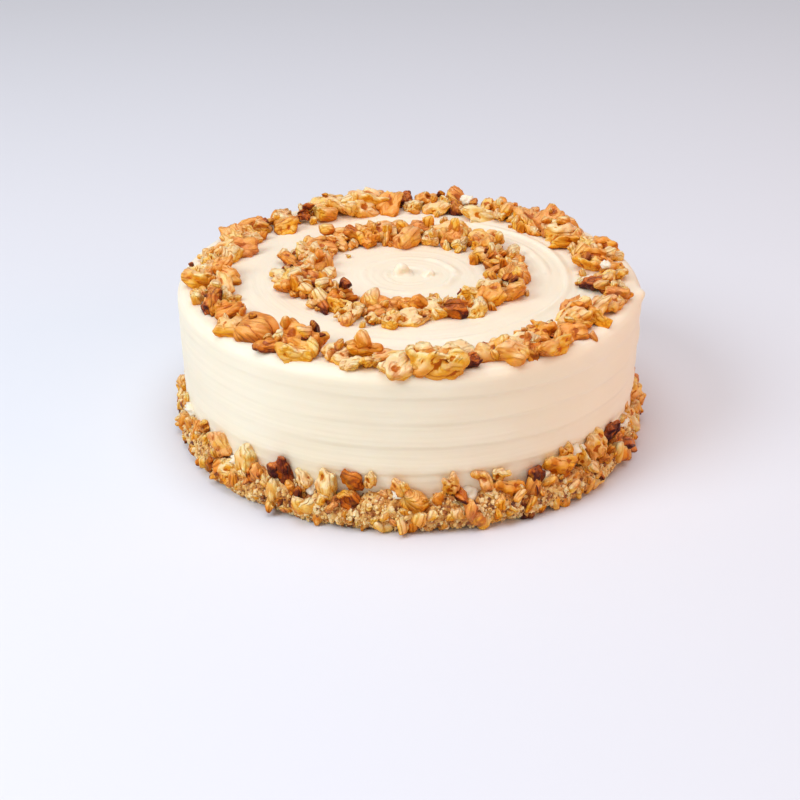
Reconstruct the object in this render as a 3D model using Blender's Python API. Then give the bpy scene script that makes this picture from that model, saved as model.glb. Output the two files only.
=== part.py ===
"""A whole nut cake with cream-coloured icing, standing on its flat base.

Metres, +Z up, origin at the middle of the base, front of the cake towards -Y.

iced_cake    the uncut cake in its coat of icing, with comb ridges round the wall, palette-knife
             ridges on the top and a small curl in the middle where the knife was lifted
rim_nuts     the heaped ring of broken nuts just inside the top edge
inner_nuts   the smaller heaped ring round the middle
base_nuts    the band of nuts and crumbs pressed round the foot of the wall
"""

import math
import random
from collections import namedtuple

import bmesh
import bpy
from mathutils import Euler, Matrix, Vector, noise

MM = 0.001
TURN = math.tau

# The cake
WALL_RADIUS = 102 * MM
FOOT_RADIUS = 100.5 * MM
TOP_HEIGHT = 68 * MM
FOOT_ROUND = 1.2 * MM
SHOULDER_ROUND = 5 * MM
SHOULDER_SWELL = 0.5 * MM

# Ridges of icing: how high up the wall or how far from the middle each one is, and where round the
# cake it stands out most. The front is at -90 degrees.
Ridge = namedtuple("Ridge", "place strongest")
WALL_RIDGES = (Ridge(24 * MM, -60), Ridge(35 * MM, -50), Ridge(46 * MM, -140), Ridge(57.5 * MM, -100))
WALL_LIP = 0.8 * MM
LIP_DROP = 0.7 * MM
WALL_WAVE = 0.5 * MM
TOP_RIDGES = (Ridge(70 * MM, -10), Ridge(61.5 * MM, 60), Ridge(20 * MM, -30))
TOP_RIDGE_HEIGHT = 0.9 * MM
TOP_RIDGE_SIDE = 2.2 * MM
RIDGE_WANDER = 0.9 * MM
LEAST_RIDGE = 0.25
DISH_DEPTH = 0.6 * MM
DISH_RADIUS = 11 * MM
ICING_SIDES = 60

# The knife left a small point of icing on the shoulder as it came off
POINT_ANGLE = math.radians(-10)
POINT_WIDTH = math.radians(4)
POINT_REACH = 2.4 * MM

# Curls of icing in the middle: place, radius of the foot, height, and how far the tip leans
CURLS = (
    (Vector((-2.4 * MM, 2.2 * MM)), 5.4 * MM, 4.8 * MM, Vector((-1.6 * MM, -1.0 * MM))),
    (Vector((8.6 * MM, 0.6 * MM)), 4.2 * MM, 1.9 * MM, Vector((1.0 * MM, -0.4 * MM))),
)
CURL_SIDES = 10
CURL_ROOT = 1.5 * MM

# Nuts keep this far off the icing, so that no two solids touch
GAP = 0.3 * MM

# Big nuts that stand out, placed one by one: where round the cake in degrees, how far from the middle of
# the ring, or how high up the wall, how long, and which way the nut points in degrees
Nut = namedtuple("Nut", "angle out length heading")
RIM_NUTS = (
    Nut(212, 89 * MM, 14 * MM, 35),
    Nut(225.5, 90 * MM, 17 * MM, -8),
    Nut(234, 96 * MM, 11.5 * MM, 10),
    Nut(240.5, 87 * MM, 18 * MM, -35),
    Nut(242, 96 * MM, 13 * MM, -50),
    Nut(251.5, 91 * MM, 12 * MM, -20),
    Nut(256.5, 97 * MM, 9 * MM, 0),
    Nut(265, 90 * MM, 14 * MM, 15),
    Nut(267.5, 97 * MM, 17 * MM, 60),
    Nut(276, 97 * MM, 22 * MM, 4),
    Nut(283.5, 95 * MM, 9 * MM, 20),
    Nut(284, 85 * MM, 12 * MM, 25),
    Nut(292.5, 94 * MM, 18 * MM, -30),
    Nut(305.5, 97 * MM, 16 * MM, 30),
    Nut(314.5, 92 * MM, 14 * MM, 15),
    Nut(328, 80 * MM, 12 * MM, 75),
    Nut(335.5, 92 * MM, 12 * MM, 60),
    Nut(347, 89 * MM, 10 * MM, 0),
)
INNER_NUTS = (
    Nut(42, 51 * MM, 14 * MM, 10),
    Nut(64, 50 * MM, 15 * MM, -10),
    Nut(100, 46 * MM, 17 * MM, 10),
    Nut(171, 39 * MM, 12 * MM, 70),
    Nut(186, 54 * MM, 9 * MM, -10),
    Nut(230, 41 * MM, 14 * MM, 30),
    Nut(222, 49 * MM, 10 * MM, 80),
    Nut(257, 41 * MM, 16 * MM, -10),
    Nut(257.5, 51 * MM, 9 * MM, 70),
    Nut(265, 53 * MM, 10 * MM, 80),
    Nut(274, 50 * MM, 13 * MM, 30),
    Nut(296, 49 * MM, 13 * MM, 10),
    Nut(338, 41 * MM, 11 * MM, 15),
    Nut(351, 49 * MM, 15 * MM, 60),
)
BASE_NUTS = (
    Nut(219, 18 * MM, 12 * MM, 40),
    Nut(229, 18 * MM, 13 * MM, 0),
    Nut(233, 13 * MM, 11 * MM, 30),
    Nut(239.5, 18 * MM, 14 * MM, 15),
    Nut(245, 17 * MM, 10 * MM, 30),
    Nut(251, 17 * MM, 14 * MM, 10),
    Nut(257, 20.5 * MM, 10 * MM, 75),
    Nut(261, 21.5 * MM, 8 * MM, 0),
    Nut(271, 12.5 * MM, 13 * MM, 50),
    Nut(279, 20 * MM, 10 * MM, 10),
    Nut(286.5, 19.5 * MM, 11 * MM, 20),
    Nut(292, 14 * MM, 13 * MM, 70),
    Nut(289, 7 * MM, 10 * MM, 0),
    Nut(300, 14.5 * MM, 12 * MM, -20),
    Nut(306, 18 * MM, 14 * MM, 70),
    Nut(308.5, 22.5 * MM, 8 * MM, 0),
    Nut(319, 19.5 * MM, 13 * MM, 20),
    Nut(257, 11 * MM, 12 * MM, 30),
    Nut(237.5, 7.5 * MM, 11 * MM, 40),
)

# A heap of nuts: its seed, the middle of its ring, how far out that lies, how far across it spreads, how
# many nuts fill it and their least and greatest length, how far a nut can ride on those below, how far
# the heap slips outward at the front, and its core. "upright" is True for a heap on the wall, whose
# "out" and "spread" are measured up the wall.
Heap = namedtuple(
    "Heap", "name seed x y out spread count least greatest lift slip core_half core_high upright nuts"
)
RIM_HEAP = Heap(
    name="rim_nuts",
    seed=21,
    x=0,
    y=0,
    out=85.5 * MM,
    spread=7.6 * MM,
    count=116,
    least=8 * MM,
    greatest=17 * MM,
    lift=2.6 * MM,
    slip=5.5 * MM,
    core_half=7 * MM,
    core_high=3 * MM,
    upright=False,
    nuts=RIM_NUTS,
)
INNER_HEAP = Heap(
    name="inner_nuts",
    seed=8,
    x=-3 * MM,
    y=-MM,
    out=45 * MM,
    spread=7.6 * MM,
    count=74,
    least=7 * MM,
    greatest=15 * MM,
    lift=2.8 * MM,
    slip=0,
    core_half=7 * MM,
    core_high=3 * MM,
    upright=False,
    nuts=INNER_NUTS,
)
BASE_HEAP = Heap(
    name="base_nuts",
    seed=5,
    x=0,
    y=0,
    out=12.5 * MM,
    spread=9 * MM,
    count=130,
    least=7 * MM,
    greatest=13 * MM,
    lift=1.6 * MM,
    slip=0,
    core_half=7 * MM,
    core_high=3 * MM,
    upright=True,
    nuts=BASE_NUTS,
)
GOLDEN_SHARE = 0.618034
SMALL_PIECES = 1.5
CROWDED = 0.62
FRONT_NARROWS = 0.3
DROOP = 0.45

# A broken nut: its breadth and height as shares of its length, its lumps, its bend and where it snapped
BREADTHS = (0.62, 0.88)
HEIGHTS = (0.48, 0.68)
LONG_NUT = 20 * MM
LONG_NARROWS = 0.72
MOST_TILT = math.radians(38)
PLACED_TILT = math.radians(12)
LUMP_SIZE = 1.5
LUMP_DEPTH = 0.34
BEND = 0.45
SNAP = 0.62
PLAIN_PIECE = 14 * MM

SHORT_EDGE = 1.8 * MM
TRIMMED_EDGE = 0.2 * MM
SMALL_FACE = 40 * MM
CORE_SIDES = 44
CORE_RELIEF = 1.2 * MM
CRUMB_SIDES = 72
CRUMB_RELIEF = 1.3 * MM
CRUMB_ROWS = (1.5 * MM, 7 * MM, 12 * MM)
THINNEST_CRUST = 1.2 * MM

# The crust is pressed in more at the sides and back, and bulges low at the front. It starts to come out
# to the front at the first of two shares of the way there, and is fully out at the second. The bulge is
# full below the first of two levels and gone above the second.
PRESSED_IN = 1.6 * MM
FRONT_BULGE = 2.2 * MM
BULGE_TURNS = (0.3, 0.9)
BULGE_LEVELS = (8 * MM, 16 * MM)

Place = namedtuple("Place", "centre size turn seed")
Row = namedtuple("Row", "radius height tilt stand strongest wander seed")


def clear_scene():
    for old in list(bpy.data.objects):
        bpy.data.objects.remove(old)


def finish_of(name, colour, roughness):
    material = bpy.data.materials.new(name)
    material.use_nodes = True
    shader = material.node_tree.nodes["Principled BSDF"]
    shader.inputs["Base Color"].default_value = (*colour, 1)
    shader.inputs["Roughness"].default_value = roughness
    shader.inputs["Metallic"].default_value = 0
    material.diffuse_color = (*colour, 1)
    return material


def object_of(name, shape, collection=None):
    mesh = bpy.data.meshes.new(name)
    shape.to_mesh(mesh)
    shape.free()
    made = bpy.data.objects.new(name, mesh)
    (collection or bpy.context.scene.collection).objects.link(made)
    return made


def ripple(angle, seed, pace=1.3):
    """A slow unevenness round the cake, from about -1 to 1, the same at angle 0 and at a full turn."""
    where = Vector((math.cos(angle) * pace, math.sin(angle) * pace, seed * 7.3))
    return max(-1.0, min(1.0, noise.noise(where) * 1.8))


def wall_at(height):
    """How far out the wall stands at a height: it draws in a little from the shoulder to the foot."""
    share = max(0.0, min(1.0, height / (TOP_HEIGHT - SHOULDER_ROUND)))
    return FOOT_RADIUS + (WALL_RADIUS - FOOT_RADIUS) * share


def crust_stand(angle, level):
    """How much further out than elsewhere the crust stands at an angle and a level."""
    start, end = BULGE_TURNS
    share = max(0.0, min(1.0, (-math.sin(angle) - start) / (end - start)))
    front = share * share * (3 - 2 * share)
    full, gone = BULGE_LEVELS
    low = max(0.0, min(1.0, (gone - level) / (gone - full)))
    return FRONT_BULGE * front * low - PRESSED_IN * (1 - front)


def icing_rows():
    """The icing's outline as rows, from the foot of the wall over the shoulder to the middle of the top."""
    wall, up = 0.0, math.pi / 2
    rows = [
        Row(FOOT_RADIUS - FOOT_ROUND, 0, wall, 0, None, 0, 0),
        Row(wall_at(FOOT_ROUND), FOOT_ROUND, wall, 0, None, 0, 0),
    ]
    for seed, ridge in enumerate(WALL_RIDGES, start=1):
        # Each band of the wall flares down to a lip and steps in below it
        foot, lip = ridge.place - LIP_DROP, ridge.place + LIP_DROP
        rows.append(Row(wall_at(foot), foot, wall, 0, None, RIDGE_WANDER, seed))
        rows.append(Row(wall_at(lip), lip, wall, WALL_LIP, ridge.strongest, RIDGE_WANDER, seed))
    for share in (0, 1 / 3, 2 / 3, 1):
        tilt = share * up
        radius = WALL_RADIUS - SHOULDER_ROUND * (1 - math.cos(tilt))
        height = TOP_HEIGHT - SHOULDER_ROUND * (1 - math.sin(tilt))
        rows.append(Row(radius, height, tilt, SHOULDER_SWELL * math.sin(2 * tilt), None, 0, 9))
    for seed, ridge in enumerate(TOP_RIDGES, start=5):
        outer, inner = ridge.place + TOP_RIDGE_SIDE, ridge.place - TOP_RIDGE_SIDE
        rows.append(Row(outer, TOP_HEIGHT, up, 0, None, RIDGE_WANDER, seed))
        crest = Row(ridge.place, TOP_HEIGHT, up, TOP_RIDGE_HEIGHT, ridge.strongest, RIDGE_WANDER, seed)
        rows.append(crest)
        rows.append(Row(inner, TOP_HEIGHT, up, 0, None, RIDGE_WANDER, seed))
    rows.append(Row(DISH_RADIUS, TOP_HEIGHT - DISH_DEPTH, up, 0, None, 0, 0))
    return rows


def icing_point(row, angle, clearance):
    """Where a row of the icing passes at an angle, moved off the surface by a clearance."""
    out = Vector((math.cos(row.tilt), math.sin(row.tilt)))
    along = Vector((-out.y, out.x))
    stand = row.stand
    if row.strongest is not None:
        facing = 0.5 + 0.5 * math.cos(angle - math.radians(row.strongest))
        stand *= max(LEAST_RIDGE, facing + 0.4 * ripple(angle, row.seed, 3))
    if row.tilt == 0 and row.height > FOOT_ROUND:
        stand += WALL_WAVE * ripple(angle, row.height / SHOULDER_ROUND, 2)
    if 0 < row.tilt < 1:
        off = math.remainder(angle - POINT_ANGLE, TURN) / POINT_WIDTH
        stand += POINT_REACH * math.exp(-off * off)
    place = Vector((row.radius, row.height)) + out * (stand + clearance)
    place += along * row.wander * ripple(angle, row.seed + 20)
    return Vector((place.x * math.cos(angle), place.x * math.sin(angle), place.y))


def icing_shape(clearance=0.0, deep=0.0):
    """The closed skin of the icing. With a clearance it is the room the nuts leave round the icing."""
    shape = bmesh.new()
    rows = icing_rows()
    if deep:
        rows[0] = rows[0]._replace(radius=FOOT_RADIUS, height=-deep)
    loops = []
    for row in rows:
        angles = [TURN * side / ICING_SIDES for side in range(ICING_SIDES)]
        loops.append([shape.verts.new(icing_point(row, angle, clearance)) for angle in angles])
    for lower, upper in zip(loops, loops[1:]):
        for side in range(ICING_SIDES):
            after = (side + 1) % ICING_SIDES
            shape.faces.new((lower[side], lower[after], upper[after], upper[side]))
    shape.faces.new(list(reversed(loops[0])))
    middle = shape.verts.new((0, 0, TOP_HEIGHT - DISH_DEPTH + clearance))
    for side in range(ICING_SIDES):
        shape.faces.new((loops[-1][side], loops[-1][(side + 1) % ICING_SIDES], middle))
    return shape


def curl_shape(place, foot, height, lean):
    """A soft pointed curl, whose tip leans the way the knife left it."""
    shape = bmesh.new()
    levels = ((0.0, 1.0), (0.3, 0.8), (0.65, 0.42), (0.9, 0.16))
    loops = []
    for share, width in levels:
        centre = place + lean * share**2
        level = TOP_HEIGHT - CURL_ROOT + (height + CURL_ROOT) * share
        ring = []
        for side in range(CURL_SIDES):
            angle = TURN * side / CURL_SIDES
            reach = foot * width * (1 + 0.18 * ripple(angle, share + foot / MM))
            ring.append(
                shape.verts.new(
                    (centre.x + reach * math.cos(angle), centre.y + reach * math.sin(angle), level)
                )
            )
        loops.append(ring)
    for lower, upper in zip(loops, loops[1:]):
        for side in range(CURL_SIDES):
            after = (side + 1) % CURL_SIDES
            shape.faces.new((lower[side], lower[after], upper[after], upper[side]))
    shape.faces.new(list(reversed(loops[0])))
    tip = place + lean
    point = shape.verts.new((tip.x, tip.y, TOP_HEIGHT + height))
    for side in range(CURL_SIDES):
        shape.faces.new((loops[-1][side], loops[-1][(side + 1) % CURL_SIDES], point))
    return shape


def rest_nut(heap, draw, angle, out, length, heading, most_tilt, ride):
    """One nut of a heap, set down on the icing or pressed against the wall."""
    size = Vector((length, length * draw.uniform(*BREADTHS), length * draw.uniform(*HEIGHTS)))
    if length > LONG_NUT:
        size.y *= LONG_NARROWS
    tilts = (draw.uniform(-most_tilt, most_tilt), draw.uniform(-most_tilt, most_tilt))
    turn = Euler((*tilts, heading)).to_matrix().to_4x4()
    if heap.upright:
        radius, level = wall_at(out) + crust_stand(angle, out) + 0.3 * size.z + ride, out
        face_out = Matrix.Rotation(angle, 4, "Z") @ Matrix.Rotation(math.pi / 2, 4, "Y")
        turn = face_out @ turn
    else:
        beyond = max(0.0, out - (WALL_RADIUS - SHOULDER_ROUND))
        radius, level = out, TOP_HEIGHT + 0.3 * size.z + ride - DROOP * beyond
    centre = Vector((heap.x + radius * math.cos(angle), heap.y + radius * math.sin(angle), level))
    return Place(centre, size, turn, draw.randrange(1000))


def heap_places(heap):
    """Where the nuts of a heap lie: those placed one by one, then the rest in the room between them.

    Each of the rest follows round the ring, and its lane across the heap is a golden share on.
    """
    draw = random.Random(heap.seed)
    places = []
    for nut in heap.nuts:
        angle, heading = math.radians(nut.angle), math.radians(nut.heading)
        places.append(rest_nut(heap, draw, angle, nut.out, nut.length, heading, PLACED_TILT, 0))
    for number in range(heap.count):
        angle = TURN * (number + draw.uniform(-0.4, 0.4)) / heap.count
        lane = 2 * ((number * GOLDEN_SHARE + draw.uniform(-0.12, 0.12)) % 1) - 1
        length = heap.least + (heap.greatest - heap.least) * draw.random() ** SMALL_PIECES
        front = max(0.0, -math.sin(angle))
        narrows = FRONT_NARROWS * front if heap.slip > 0 else 0
        out = heap.out + lane * heap.spread * (1 - narrows) + heap.slip * front
        ride = heap.lift * draw.random() * (1 - lane * lane)
        place = rest_nut(heap, draw, angle, out, length, draw.uniform(0, TURN), MOST_TILT, ride)
        room = [CROWDED * (place.size.x + other.size.x) / 2 for other in places[: len(heap.nuts)]]
        if all((place.centre - other.centre).length > near for other, near in zip(places, room)):
            places.append(place)
    return places


def nut_shape(place):
    """One broken piece of kernel: lumpy, a little bent, and snapped flat on one side."""
    shape = bmesh.new()
    if place.size.x > PLAIN_PIECE:
        bmesh.ops.create_uvsphere(shape, u_segments=6, v_segments=4, radius=1)
    else:
        bmesh.ops.create_icosphere(shape, subdivisions=1, radius=1)
    draw = random.Random(place.seed)
    snap = Vector((draw.uniform(-1, 1), draw.uniform(-1, 1), draw.uniform(-0.3, 0.6))).normalized()
    for vertex in shape.verts:
        ball = vertex.co.normalized()
        lump = noise.noise(ball * LUMP_SIZE + Vector((place.seed, 0, 0)))
        point = ball * (1 + LUMP_DEPTH * lump)
        point -= snap * max(0.0, point.dot(snap) - SNAP)
        point.y += BEND * (point.x * point.x - 0.35)
        vertex.co = point
    half = Matrix.Diagonal((*(place.size / 2), 1))
    lay = Matrix.Translation(place.centre) @ place.turn @ half
    bmesh.ops.transform(shape, matrix=lay, verts=shape.verts)
    return shape


def ring_shape(outline, sides):
    """A closed ring. The outline gives its corners, as (radius, height), at each angle."""
    shape = bmesh.new()
    loops = []
    for side in range(sides):
        angle = TURN * side / sides
        corners = [(r * math.cos(angle), r * math.sin(angle), z) for r, z in outline(angle)]
        loops.append([shape.verts.new(corner) for corner in corners])
    for side, loop in enumerate(loops):
        following = loops[(side + 1) % sides]
        for corner in range(len(loop)):
            after = (corner + 1) % len(loop)
            shape.faces.new((loop[corner], following[corner], following[after], loop[after]))
    bmesh.ops.recalc_face_normals(shape, faces=shape.faces)
    return shape


def top_core(heap):
    """The low bed that a heap on the top is built on. Its pieces hide it."""

    def outline(angle):
        middle = heap.out + heap.slip * max(0.0, -math.sin(angle))
        low = TOP_HEIGHT - heap.core_high
        corners = [(middle - heap.core_half, low), (middle + heap.core_half, low)]
        for seed, share in enumerate((1, 0.4, -0.4, -1)):
            high = TOP_HEIGHT + heap.core_high * (1 - 0.6 * share * share)
            lump = CORE_RELIEF * ripple(angle, heap.seed + seed, 14)
            corners.append((middle + heap.core_half * share + lump, high + lump))
        return corners

    core = ring_shape(outline, CORE_SIDES)
    bmesh.ops.translate(core, vec=(heap.x, heap.y, 0), verts=core.verts)
    return core


def wall_core(heap):
    """The crust of fine crumbs round the foot of the wall, rough on its outer face."""

    def outline(angle):
        rough = []
        for level in CRUMB_ROWS:
            relief = CRUMB_RELIEF * ripple(angle, level / MM + heap.seed, 17)
            thick = max(THINNEST_CRUST, heap.core_high + crust_stand(angle, level) + relief)
            rise = 0.5 * CRUMB_RELIEF * ripple(angle, level / MM + 3, 15)
            rough.append((wall_at(level) + thick, level + rise))
        top = CRUMB_ROWS[-1] + heap.core_half * (0.5 + 0.5 * ripple(angle, heap.seed, 6))
        inside = FOOT_RADIUS - heap.core_high
        return [(inside, -heap.core_high), (rough[0][0], -heap.core_high), *rough, (inside, top)]

    return ring_shape(outline, CRUMB_SIDES)


def apply_modifiers(body):
    graph = bpy.context.evaluated_depsgraph_get()
    finished = bpy.data.meshes.new_from_object(body.evaluated_get(graph))
    body.modifiers.clear()
    body.data = finished


def join(body, others, operation):
    """Applies one Boolean between a body and a collection, then removes the collection's objects."""
    cut = body.modifiers.new("join", "BOOLEAN")
    cut.operation = operation
    cut.operand_type = "COLLECTION"
    cut.collection = others
    cut.solver = "MANIFOLD"
    apply_modifiers(body)
    for used in list(others.objects):
        bpy.data.objects.remove(used)
    bpy.data.collections.remove(others)


def split_face(shape, face):
    """Splits a face into triangles, from its middle where an edge across it would double another."""
    corners = set(face.verts)
    links = {link for corner in corners for link in corner.link_edges} - set(face.edges)
    doubles = any(corners.issuperset(link.verts) for link in links)
    if doubles and face.calc_perimeter() < SMALL_FACE:
        bmesh.ops.poke(shape, faces=[face])
    else:
        bmesh.ops.triangulate(shape, faces=[face])


def thin_facets(body, shortest):
    """Splits the faces into triangles, and closes the short edges that Booleans leave between pieces."""
    shape = bmesh.new()
    shape.from_mesh(body.data)
    for face in [face for face in shape.faces if len(face.verts) > 3]:
        split_face(shape, face)
    for edge in sorted(shape.edges, key=lambda edge: edge.calc_length()):
        if not edge.is_valid or edge.calc_length() > shortest:
            continue
        ends = list(edge.verts)
        near = [{link.other_vert(end) for link in end.link_edges} for end in ends]
        shared = near[0] & near[1]
        if len(shared) == 2 and all(len(corner.link_edges) > 3 for corner in shared):
            bmesh.ops.pointmerge(shape, verts=ends, merge_co=(ends[0].co + ends[1].co) / 2)
    shape.to_mesh(body.data)
    shape.free()


def keep_one_body(body):
    """Drops loose scraps, and the skins of hollows that fusing sealed."""
    shape = bmesh.new()
    shape.from_mesh(body.data)
    left = set(shape.faces)
    skins = []
    while left:
        skin, edge_of_skin = set(), [left.pop()]
        while edge_of_skin:
            face = edge_of_skin.pop()
            skin.add(face)
            near = {other for edge in face.edges for other in edge.link_faces} & left
            left -= near
            edge_of_skin.extend(near)
        skins.append(skin)
    skins.sort(key=len)
    bmesh.ops.delete(shape, geom=[face for skin in skins[:-1] for face in skin], context="FACES")
    shape.to_mesh(body.data)
    shape.free()


def group(name):
    made = bpy.data.collections.new(name)
    bpy.context.scene.collection.children.link(made)
    return made


def make_cake(finish):
    cake = object_of("iced_cake", icing_shape())
    curls = group("curls")
    for number, curl in enumerate(CURLS):
        object_of(f"curl_{number}", curl_shape(*curl), curls)
    join(cake, curls, "UNION")
    cake.data.materials.append(finish)


def make_heap(heap, core, finish):
    """Fuses a heap's nuts on its core, then trims it clear of the icing and of the plane it stands on."""
    body = object_of(heap.name, core)
    pieces = group("pieces")
    for number, place in enumerate(heap_places(heap)):
        object_of(f"piece_{number}", nut_shape(place), pieces)
    join(body, pieces, "UNION")
    thin_facets(body, SHORT_EDGE)
    room = group("room")
    object_of("icing_room", icing_shape(GAP, TOP_HEIGHT), room)
    join(body, room, "DIFFERENCE")
    if heap.upright:
        table = bmesh.new()
        slab = Matrix.Diagonal((4 * WALL_RADIUS, 4 * WALL_RADIUS, 2 * TOP_HEIGHT, 1))
        below = Matrix.Translation((0, 0, -TOP_HEIGHT)) @ slab
        bmesh.ops.create_cube(table, size=1, matrix=below)
        room = group("room")
        object_of("table", table, room)
        join(body, room, "DIFFERENCE")
    thin_facets(body, TRIMMED_EDGE)
    keep_one_body(body)
    body.data.materials.clear()
    body.data.materials.append(finish)


def main():
    clear_scene()
    icing = finish_of("icing", (0.88, 0.78, 0.62), 0.45)
    kernel = finish_of("kernel", (0.62, 0.32, 0.11), 0.5)
    crust = finish_of("crust", (0.5, 0.27, 0.1), 0.6)
    make_cake(icing)
    make_heap(RIM_HEAP, top_core(RIM_HEAP), kernel)
    make_heap(INNER_HEAP, top_core(INNER_HEAP), kernel)
    make_heap(BASE_HEAP, wall_core(BASE_HEAP), crust)


main()
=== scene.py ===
"""A whole nut cake: cream icing, two heaped rings of broken walnuts, and a nut crust round the foot."""

import math
import random
from collections import namedtuple

import bmesh
import bpy
from mathutils import Euler, Matrix, Vector, noise
from mathutils.bvhtree import BVHTree


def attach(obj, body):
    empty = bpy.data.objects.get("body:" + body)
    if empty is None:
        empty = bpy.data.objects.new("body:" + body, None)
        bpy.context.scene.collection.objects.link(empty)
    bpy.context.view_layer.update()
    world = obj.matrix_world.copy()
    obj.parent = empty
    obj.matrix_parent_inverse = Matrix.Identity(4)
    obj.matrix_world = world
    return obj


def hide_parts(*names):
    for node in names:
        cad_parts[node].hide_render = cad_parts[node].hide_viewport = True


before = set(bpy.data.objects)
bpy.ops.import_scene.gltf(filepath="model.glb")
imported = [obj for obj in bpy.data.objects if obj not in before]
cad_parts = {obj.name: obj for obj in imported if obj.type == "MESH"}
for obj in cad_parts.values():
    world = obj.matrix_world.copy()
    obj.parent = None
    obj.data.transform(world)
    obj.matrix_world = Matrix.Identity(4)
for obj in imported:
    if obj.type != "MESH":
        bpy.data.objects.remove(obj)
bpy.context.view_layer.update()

# ---------------------------------------------------------------------------------------------------
# The iced cake. A round uncut sponge in a coat of cream-cheese icing, smoothed on a turntable: the
# scraper leaves stepped ridges round the wall, the palette knife rings on the top, and lifting the
# knife leaves small curls in the middle and a point of icing on the shoulder.

MM = 0.001
TURN = math.tau

WALL_RADIUS = 102 * MM
FOOT_RADIUS = 100.5 * MM
TOP_HEIGHT = 68 * MM
FOOT_ROUND = 1.2 * MM
SHOULDER_ROUND = 5 * MM

# Ridges of icing: how high up the wall or how far from the middle each one is, and where round the cake
# it stands out most, in degrees. The front is at -90.
Ridge = namedtuple("Ridge", "place strongest")
WALL_RIDGES = (Ridge(24 * MM, -45), Ridge(35 * MM, -35), Ridge(46 * MM, -20), Ridge(57.5 * MM, -60))
TOP_RIDGES = (Ridge(70 * MM, -10), Ridge(61.5 * MM, 60), Ridge(20 * MM, -30))
RIDGE_WANDER = 0.9 * MM
RIDGE_UNEVEN = 0.35
LEAST_RIDGE = 0.1
LIP_UNDER = 0.7 * MM
LIP_EDGE = 0.5 * MM
LIP_FADES = 11 * MM
RIDGE_INSIDE = 2.2 * MM
RIDGE_OUTSIDE = 3 * MM
RIDGES_START = 5 * MM
DRAG_DEPTH = 0.5 * MM

# The point of icing on the shoulder, and the dish in the middle with the ring that the knife left in it
POINT_ANGLE = math.radians(350)
POINT_WIDTH = math.radians(3)
DISH_EDGE = (9 * MM, 13 * MM)
DISH_RING = 10 * MM
DISH_RING_SIDE = 1.6 * MM
DISH_RING_HEIGHT = 0.35 * MM


class Worked:
    """A number that a node tree works out, so that a formula in the script reads as it would on paper."""

    def __init__(self, tree, socket):
        self.tree = tree
        self.socket = socket

    def math(self, operation, *others):
        node = self.tree.nodes.new("ShaderNodeMath")
        node.operation = operation
        for slot, value in zip(node.inputs, (self, *others)):
            feed(self.tree, slot, value)
        return Worked(self.tree, node.outputs[0])

    def __add__(self, other):
        return self.math("ADD", other)

    def __sub__(self, other):
        return self.math("SUBTRACT", other)

    def __rsub__(self, other):
        return (self * -1) + other

    def __mul__(self, other):
        return self.math("MULTIPLY", other)

    def __truediv__(self, other):
        return self.math("DIVIDE", other)

    __radd__ = __add__
    __rmul__ = __mul__

    def cos(self):
        return self.math("COSINE")

    def sin(self):
        return self.math("SINE")

    def least(self, other):
        return self.math("MAXIMUM", other)

    def most(self, other):
        return self.math("MINIMUM", other)

    def eased(self, start, end, low=0.0, high=1.0):
        """Goes smoothly from low to high as this number goes from start to end."""
        node = self.tree.nodes.new("ShaderNodeMapRange")
        node.interpolation_type = "SMOOTHSTEP"
        for slot, value in zip(node.inputs, (self, start, end, low, high)):
            feed(self.tree, slot, value)
        return Worked(self.tree, node.outputs[0])


def feed(tree, slot, value):
    """Links a node's input to a worked number or another node's output, or sets it to a plain value."""
    if isinstance(value, Worked):
        tree.links.new(value.socket, slot)
    elif isinstance(value, bpy.types.NodeSocket):
        tree.links.new(value, slot)
    else:
        slot.default_value = value


def fill(tree, node, **inputs):
    """Feeds a node's sockets by their names, with _ for a space."""
    for name, value in inputs.items():
        feed(tree, node.inputs[name.replace("_", " ").rstrip()], value)
    return node


def place_node(tree, kind, settings=None, **inputs):
    """Adds a node. Settings are its properties, and inputs are its sockets."""
    node = tree.nodes.new(kind)
    for name, value in (settings or {}).items():
        setattr(node, name, value)
    return fill(tree, node, **inputs)


def vector_of(tree, x, y, z):
    return place_node(tree, "ShaderNodeCombineXYZ", X=x, Y=y, Z=z).outputs[0]


def around(tree, radius, angle, height):
    """A place so far from the middle, at an angle round the cake and a height."""
    return vector_of(tree, radius * angle.cos(), radius * angle.sin(), height)


def parts_of(tree, vector):
    """The x, y and z of a vector."""
    return [
        Worked(tree, socket)
        for socket in place_node(tree, "ShaderNodeSeparateXYZ", Vector=vector).outputs
    ]


def mottle(tree, where, scale, detail=1.0, roughness=0.5):
    """Soft noise from 0 to 1 at a place, with so many lumps to the metre or to the unit."""
    node = place_node(
        tree, "ShaderNodeTexNoise", Vector=where, Scale=scale, Detail=detail, Roughness=roughness
    )
    return Worked(tree, node.outputs[0])


def new_tree(name, inputs):
    """A Geometry Nodes tree with named inputs. Returns the tree, its inputs by name, and its output node."""
    tree = bpy.data.node_groups.new(name, "GeometryNodeTree")
    tree.interface.new_socket("Geometry", in_out="INPUT", socket_type="NodeSocketGeometry")
    for label, kind in inputs.items():
        tree.interface.new_socket(label, in_out="INPUT", socket_type=kind)
    tree.interface.new_socket("Geometry", in_out="OUTPUT", socket_type="NodeSocketGeometry")
    source = tree.nodes.new("NodeGroupInput")
    sink = tree.nodes.new("NodeGroupOutput")
    return tree, source.outputs, sink.inputs[0]


def end_tree(tree, geometry, material, result):
    """Ends a tree with real geometry in one material."""
    real = place_node(tree, "GeometryNodeRealizeInstances", Geometry=geometry)
    dressed = place_node(tree, "GeometryNodeSetMaterial", Geometry=real.outputs[0], Material=material)
    tree.links.new(dressed.outputs[0], result)


def placed(name, data):
    """An object with this data, in the scene."""
    piece = bpy.data.objects.new(name, data)
    bpy.context.scene.collection.objects.link(piece)
    return piece


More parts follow.
